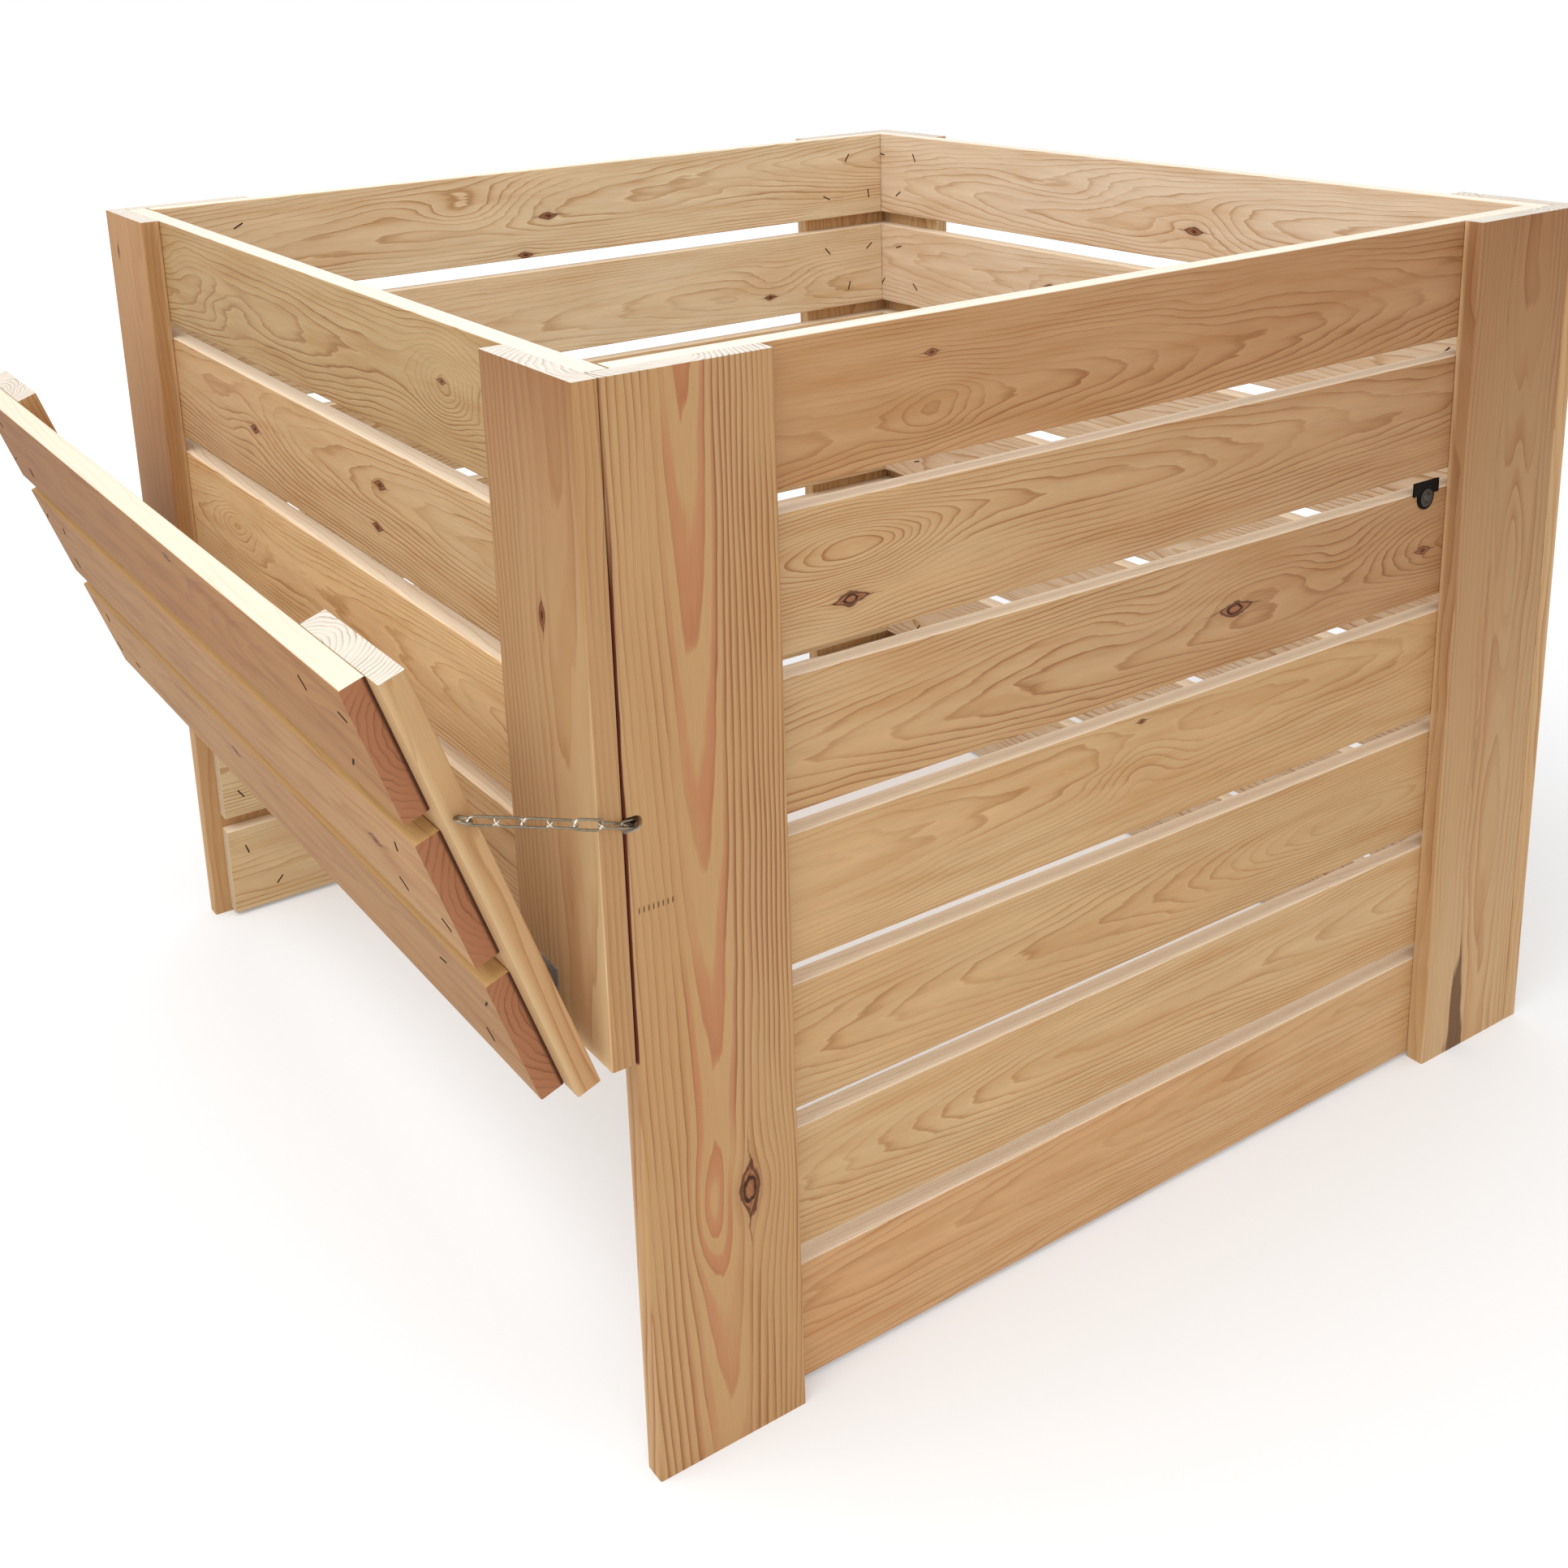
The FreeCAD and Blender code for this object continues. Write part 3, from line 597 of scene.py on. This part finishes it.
def ticksShare(add, lengthwise, crosswise, ripple, markLook):
    # a row of short bars: a sine across the board, cut off at the ends of the row and at its height
    start, end = markLook["across"]
    turns = add("Math", (crosswise, 2 * math.pi / markLook["pitch"]), operation="MULTIPLY")
    wave = add("Math", (turns,), operation="SINE")
    bars = add("MapRange", (wave, *markLook["wave"], 0.0, markLook["strength"]))
    half, soft = (end - start) / 2, markLook["acrossSoft"]
    away = awayFrom(add, crosswise, start + half)
    within = add("MapRange", (away, half - soft, half + soft, 1.0, 0.0))
    half, soft = markLook["height"] / 2, markLook["soft"]
    away = awayFrom(add, lengthwise, markLook["along"])
    level = add("MapRange", (away, half - soft, half + soft, 1.0, 0.0))
    return add("Math", (add("Math", (bars, within), operation="MULTIPLY"), level), operation="MULTIPLY")


def barkPocketShare(add, lengthwise, crosswise, ripple, markLook):
    # a ragged wedge that widens from its tip to the foot of the board
    half = add("MapRange", (lengthwise, markLook["tip"], markLook["foot"], 0.0, markLook["halfWidth"]))
    swayed = add("Math", (ripple, markLook["ragged"], crosswise), operation="MULTIPLY_ADD")
    away = awayFrom(add, swayed, markLook["across"] + markLook["ragged"] / 2)
    past = add("Math", (away, half), operation="SUBTRACT")
    return add("MapRange", (past, *markLook["soft"], markLook["strength"], 0.0))


stainAndShadeShares = {"jointLine": jointShadowShare, "ticks": ticksShare, "barkPocket": barkPocketShare}

# Faces, edges and ends of planed pine. Four numbers are the range of a noise, a place or a direction,
# and the share or factor at its two ends. back: the other side of a board, by the place out of it.
# turned: a long side or a sawn end. upward: an upper edge, which takes the edge colour with its painted
# light. groove: how deep a late wood line is for the bump, in heights of the fibres. bumpReach is in
# metres. roughness: between the lines and on them
planing = {
    "back": (-7.0, -3.0, 1.0, 0.0), "backTone": "honey",
    "turned": (0.6, 0.9, 0.0, 1.0), "upward": (0.5, 0.92, 0.0, 0.92),
    "warm": (0.38, 0.66, 0.0, 1.0), "warmTint": (0.98, 0.93, 0.88),
    "dark": (0.5, 0.74, 0.0, 0.85),
    "light": (0.5, 0.3, 0.0, 0.8), "lightTint": (1.09, 1.1, 1.1),
    "fibre": (0.2, 0.8, 0.95, 1.06),
    "edgeLine": (0.88, 0.80, 0.70),
    "endBody": (0.90, 0.86, 0.83), "endLine": (0.46, 0.42, 0.40), "endShade": (-7.6, -5.6, 0.9, 0.0),
    "groove": -1.6, "bumpReach": 0.0005,
    "roughness": (0.64, 0.5), "specular": 0.18,
}


def turnedTo(add, normal, direction):
    # the share of a surface that faces along this direction, either way
    facing = add("VectorMath", (normal, tuple(direction)), 1, operation="DOT_PRODUCT")
    return add("MapRange", (add("Math", (facing,), operation="ABSOLUTE"), *planing["turned"]))


def woodMaterial(node, look, seed):
    material, tree = newTree("planedPine." + node)
    add = functools.partial(addNode, tree)
    low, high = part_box(node)
    along, across = boardFrame(node)
    turn = Matrix((along, across, along.cross(across))).transposed()
    coordinate = add("TexCoord")
    normal = coordinate.outputs["Normal"]
    local = add("Mapping", {"Vector": coordinate.outputs["Object"], "Location": (low + high) / 2,
                            "Rotation": turn.to_euler(), "Scale": (0.001, 0.001, 0.001)},
                vector_type="TEXTURE")
    lengthwise, crosswise, outward = add("SeparateXYZ", (local,)).outputs
    noise = functools.partial(grainNoise, add, local, seed)
    drift, ripple, broad, hush, fibre = map(noise, ("drift", "ripple", "broad", "hush", "fibre"))
    rings = ringCount(add, local, drift, ripple, look, seed)
    body, line, pale = ringShares(add, local, crosswise, rings, hush, look)

    # face: two tones along the board, warm clouds, weathered clouds, fine fibres, then the rings
    halfLength = max((high - low)[i] * abs(along[i]) for i in range(3)) * 1000 / 2
    lowTone, highTone = (toLinear(tones[t]) for t in look["tones"])
    share = add("MapRange", (lengthwise, -halfLength, halfLength, 0.0, 1.0))
    colour = add("Mix", {0: share, 6: lowTone, 7: highTone}, 2, data_type="RGBA")
    share = add("MapRange", (outward, *planing["back"]))
    backTone = toLinear(tones[planing["backTone"]])
    colour = add("Mix", {0: share, 6: colour, 7: backTone}, 2, data_type="RGBA")
    if "side" in look:
        sideTone = toLinear(tones[look["side"]])
        share = turnedTo(add, normal, across)
        colour = add("Mix", {0: share, 6: colour, 7: sideTone}, 2, data_type="RGBA")
    colour = tinted(add, colour, add("MapRange", (broad, *planing["warm"])), planing["warmTint"])
    if "mottle" in look:
        cloud = noise("cloud")
        colour = tinted(add, colour, add("MapRange", (cloud, *planing["dark"])), look["mottle"])
        colour = tinted(add, colour, add("MapRange", (cloud, *planing["light"])), planing["lightTint"])
    lightness = add("MapRange", (fibre, *planing["fibre"]))
    colour = add("VectorMath", {0: colour, "Scale": lightness}, operation="SCALE")
    for share, tint in ((body, "body"), (line, "line"), (pale, "pale")):
        colour = tinted(add, colour, share, look[tint])
    if "knots" in look:
        colour = knotted(add, colour, local, centred(add, noise("rough")), look["knots"])
    for name in look.get("marks", ()):
        share = stainAndShadeShares[name](add, lengthwise, crosswise, ripple, stainsAndShade[name])
        markLook = toLinear(stainsAndShade[name]["colour"])
        colour = add("Mix", {0: share, 6: colour, 7: markLook}, 2, data_type="RGBA")

    # upper edges are paler than the faces: partly paler wood, partly painted light from above. Sawn
    # ends show grey ring arcs
    edge = tinted(add, toLinear(look["edge"])[:3], line, planing["edgeLine"])
    share = add("MapRange", (add("SeparateXYZ", (normal,), 2), *planing["upward"]))
    colour = add("Mix", {0: share, 6: colour, 7: edge}, 2, data_type="RGBA")
    end = tinted(add, toLinear(look["end"])[:3], body, planing["endBody"])
    end = tinted(add, end, line, planing["endLine"])
    # painted shade: the flap boards' ends darken towards their back, where the battens shade them
    if "endShade" in look:
        share = add("MapRange", (outward, *planing["endShade"]))
        end = add("Mix", {0: share, 6: end, 7: toLinear(look["endShade"])}, 2, data_type="RGBA")
    share = turnedTo(add, normal, along)
    colour = add("Mix", {0: share, 6: colour, 7: end}, 2, data_type="RGBA")

    height = add("Math", (line, planing["groove"], fibre), operation="MULTIPLY_ADD")
    bump = add("Bump", {"Height": height, "Strength": look["bump"], "Distance": planing["bumpReach"]})
    roughness = add("MapRange", (line, 0.0, 1.0, *planing["roughness"]))
    surface = add("BsdfPrincipled", {"Base Color": colour, "Roughness": roughness, "Normal": bump,
                                     "Specular IOR Level": planing["specular"]})
    add("OutputMaterial", {"Surface": surface})
    return material


timber = [n for n in frame["nodes"] if "slat" in n or "board" in n or n.endswith("batten")]
for seed, node in enumerate(sorted(timber)):
    look = {**woods[woodKind(node)], "tones": sideTones.get(node.split("_")[0]), **boards.get(node, {})}
    # the top row's upper edges take the palest colour: painted light from above, falling full on them
    if node.endswith("slat_1"):
        look["edge"] = look["rimEdge"]
    giveMaterial(node, woodMaterial(node, look, seed))
print("boards finished:", len(timber))

# Metals and the pieces they finish: colour, roughness, and whether they shine as metal. specular is
# for paint and lacquer that shine less than the usual 0.5
metals = {
    # bright drawn wire: sharp glints, paler at the bends of the links, partly wear where they rub and
    # partly a painted highlight
    "zincPlatedWire": {"nodes": ("chain_anchor_link", "flap_screw_eye"), "colour": "#8F8472",
                       "worn": "#ECE8DF", "roughness": 0.26, "metallic": 1.0},
    # a screw deep in the notch: brown and soft
    "brownedScrew": {"nodes": ("chain_anchor_screw",), "colour": "#5E4131", "roughness": 0.4,
                     "metallic": 1.0},
    # weathered plating: grey with a soft glint
    "zincPlatedScrew": {"nodes": ("fixing_plate_screw",), "colour": "#4A443D", "roughness": 0.42,
                        "metallic": 1.0},
    # pressed hinges: light grey with a soft sheen
    "dullZinc": {"nodes": ("left_hinge_fixed_leaf", "right_hinge_fixed_leaf", "left_hinge_flap_leaf",
                           "right_hinge_flap_leaf", "left_hinge_pin", "right_hinge_pin",
                           "hinge_fixed_screws", "hinge_flap_screws"),
                 "colour": "#B9B8B2", "roughness": 0.42, "metallic": 1.0},
    # lacquered staples, sunk in the wood: short dark dashes that hardly shine
    "stapleWire": {"nodes": ("front_staples", "back_staples", "left_staples", "right_staples",
                             "flap_staples"),
                   "colour": "#38241A", "roughness": 0.7, "metallic": 0.0, "specular": 0.1},
    # matt paint: nearly black, with next to no gloss
    "blackPaintedSteel": {"nodes": ("fixing_plate",), "colour": "#120C09", "roughness": 0.6,
                          "metallic": 0.0, "specular": 0.08},
}

# How uneven the plating or paint is: clouds about 4 mm wide, the range of their noise, and what that
# does to roughness and lightness
plating = {"perMetre": 260.0, "detail": 3.0, "clouds": (0.3, 0.7), "rougher": (-0.07, 0.1),
           "lighter": (0.82, 1.1)}


def metalMaterial(name, values):
    # plating or paint with clouds, and a paler colour where the mesh attribute says so: wear and a
    # painted highlight on the bends of the chain links
    material, tree = newTree(name)
    add = functools.partial(addNode, tree)
    place = add("TexCoord").outputs["Object"]
    cloud = add("TexNoise", {"Vector": place, "Scale": plating["perMetre"],
                             "Detail": plating["detail"]})
    roughnesses = (values["roughness"] + change for change in plating["rougher"])
    rough = add("MapRange", (cloud, *plating["clouds"], *roughnesses))
    shade = add("MapRange", (cloud, *plating["clouds"], *plating["lighter"]))
    tone = add("VectorMath", {0: toLinear(values["colour"])[:3], "Scale": shade}, operation="SCALE")
    if "worn" in values:
        worn = add("Attribute", attribute_name="worn").outputs["Fac"]
        tone = add("Mix", {0: worn, 6: tone, 7: toLinear(values["worn"])}, 2, data_type="RGBA")
    surface = add("BsdfPrincipled", {"Base Color": tone, "Roughness": rough,
                                     "Metallic": values["metallic"],
                                     "Specular IOR Level": values.get("specular", 0.5)})
    add("OutputMaterial", {"Surface": surface})
    return material


finishes = {name: metalMaterial(name, values) for name, values in metals.items()}
for name, values in metals.items():
    for node in values["nodes"]:
        giveMaterial(node, finishes[name])

# Turned beech, for dowels: pale and close-grained, with short darker flecks along the rod, 25 mm long
# and 1.1 mm wide
beech = {
    "nodes": ("front_corner_dowels", "back_corner_dowels"),
    "flecksPerMetre": (40, 900, 900),
    "colours": ("#B8925F", "#DDC29A"),
    "roughness": 0.6,
}


def beechMaterial():
    material, tree = newTree("turnedBeech")
    add = functools.partial(addNode, tree)
    place = add("TexCoord").outputs["Object"]
    stretched = add("VectorMath", (place, beech["flecksPerMetre"]), operation="MULTIPLY")
    fleck = add("TexNoise", {"Vector": stretched, "Scale": 1.0, "Detail": 2.0})
    dark, light = (toLinear(tone) for tone in beech["colours"])
    tone = add("Mix", {0: fleck, 6: dark, 7: light}, 2, data_type="RGBA")
    surface = add("BsdfPrincipled", {"Base Color": tone, "Roughness": beech["roughness"]})
    add("OutputMaterial", {"Surface": surface})
    return material


rodMaterial = beechMaterial()
for node in beech["nodes"]:
    giveMaterial(node, rodMaterial)
print("metals and dowels finished")

# Hold-up chain: straight-sided links of bright wire, each turned about a quarter from the one before.
# Lengths in millimetres. links: the radius of each link's bends, and its tilt in degrees round the
# chain from the direction out of the bin's side. The last one is narrower and reaches further in, so
# that it clears the anchor link when the flap is closed. overlap: how far the middle lines of two
# links pass each other. worn: in degrees from the top of a bend, where the paler colour, partly
# wear where the links rub and partly a painted highlight, starts to fade, and from where it is gone
chain = {
    "first": (506.06, -513.71, 549.20),
    "last": (503.73, -405.72, 510.89),
    "links": ((3.8, 115.0), (3.8, 25.0), (3.8, 115.0), (3.8, 20.0), (3.6, 95.0), (3.4, 185.0)),
    "overlap": 2.0,
    "wireRadius": 0.85,
    "bendSteps": 15,
    "wireSteps": 14,
    "worn": (16.8, 58.8),
}


def makeChainLinks():
    # A link is a ring of wire whose two halves are drawn apart. At turn a of the ring and turn b
    # round the wire, the place is middle + (reach - bend) * sign(cos a) * along
    # + (bend + wire * cos b) * (cos a * along + sin a * side) + wire * sin b * out, where reach is half
    # the length of its middle line and wire is the wire's radius
    first, last = (np.array(chain[k]) for k in ("first", "last"))
    along = (last - first) / np.linalg.norm(last - first)
    pitch = (np.linalg.norm(last - first) - chain["overlap"]) / len(chain["links"])
    reach = (pitch + chain["overlap"]) / 2
    level = np.array((1.0, 0.0, 0.0)) - along[0] * along
    level = level / np.linalg.norm(level)
    below = np.cross(along, level)
    quarter = np.linspace(-math.pi / 2, math.pi / 2, chain["bendSteps"])
    turn = np.concatenate((quarter, quarter + math.pi))[:, None, None]
    push = np.repeat((1.0, -1.0), chain["bendSteps"])[:, None, None]
    wire = np.linspace(0, 2 * math.pi, chain["wireSteps"], endpoint=False)[None, :, None]
    # the bends of each link get a paler colour: wear where links rub, and a painted highlight
    fromEnd = np.degrees(np.abs((turn + math.pi / 2) % math.pi - math.pi / 2))
    worn = np.interp(fromEnd, chain["worn"], (1, 0))
    rows, columns = 2 * chain["bendSteps"], chain["wireSteps"]
    row, column = (g.ravel() for g in np.meshgrid(np.arange(rows), np.arange(columns), indexing="ij"))
    nextRow, nextColumn = (row + 1) % rows, (column + 1) % columns
    quads = np.stack((row * columns + column, nextRow * columns + column,
                      nextRow * columns + nextColumn, row * columns + nextColumn), axis=1)
    places, wearAndGlint, faces = [], [], []
    for number, (bend, degrees) in enumerate(chain["links"]):
        tilt = math.radians(degrees)
        side = level * math.cos(tilt) + below * math.sin(tilt)
        out = np.cross(along, side)
        middle = first + along * (number * pitch + reach)
        outward = np.cos(turn) * along + np.sin(turn) * side
        points = (middle + (reach - bend) * push * along
                  + (bend + chain["wireRadius"] * np.cos(wire)) * outward
                  + chain["wireRadius"] * np.sin(wire) * out)
        places.append(points.reshape(-1, 3) / 1000)
        wearAndGlint.append(np.broadcast_to(worn, points.shape[:2] + (1,)).ravel())
        faces.append(quads + number * rows * columns)
    mesh = bpy.data.meshes.new("chain_links")
    mesh.from_pydata(np.concatenate(places).tolist(), [], np.concatenate(faces).tolist())
    mesh.attributes.new("worn", "FLOAT", "POINT").data.foreach_set("value", np.concatenate(wearAndGlint))
    mesh.shade_smooth()
    mesh.materials.append(finishes["zincPlatedWire"])
    links = bpy.data.objects.new("chain_links", mesh)
    bpy.context.scene.collection.objects.link(links)
    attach(links, "chain")
    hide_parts("hold_up_chain")


makeChainLinks()
print("chain links made:", len(chain["links"]))
